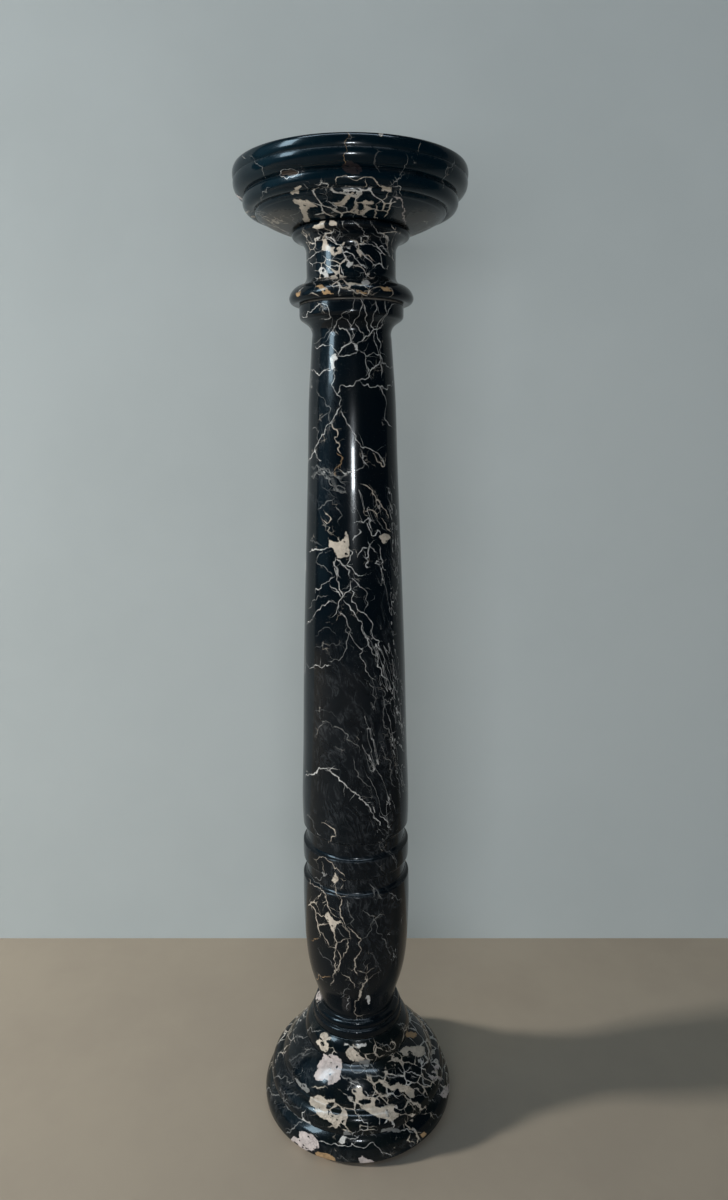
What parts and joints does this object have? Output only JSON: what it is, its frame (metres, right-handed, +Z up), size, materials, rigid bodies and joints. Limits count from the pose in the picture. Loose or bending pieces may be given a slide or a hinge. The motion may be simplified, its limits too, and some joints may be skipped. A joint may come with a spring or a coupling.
{
  "type": "pedestal table",
  "caption": "Tall turned dark marble pedestal table with a moulded round top that turns on a hidden pin, a slim swelling column and a round bun base.",
  "frame": {"origin": "centre of the underside, on the floor", "axes": "+Z up along the axis of the column; the stand is turned about Z, so X and Y are interchangeable"},
  "size_m": [0.2174, 0.2174, 1],
  "materials": {
    "top_marble": "polished black marble, few thin white veins",
    "capital_marble": "polished black marble with a dense net of cream veins",
    "shaft_marble": "polished black marble with white, smoky grey and gold veins",
    "base_marble": "polished black marble with large cream patches",
    "steel": "turned stainless steel",
    "brass": "turned brass",
    "resin": "dark epoxy stone adhesive",
    "washer": "natural nylon",
    "felt": "dark wool felt"
  },
  "bodies": {
    "pedestal": {"floor_felt": "felt", "base": "base_marble", "base_bed": "resin", "base_dowel": "steel", "base_dowel_resin": "resin", "shaft": "shaft_marble", "capital_bed": "resin", "capital": "capital_marble", "pivot_pin": "steel", "pin_resin": "resin", "thrust_washer": "washer"},
    "top": {"table_top": "top_marble", "pivot_bush": "brass", "bush_resin": "resin"}
  },
  "joints": [
    {"name": "top_swivel", "type": "hinge", "parent": "pedestal", "child": "top", "pos_m": [0, 0, 0.9486], "axis": [0, 0, 1], "continuous": true}
  ]
}
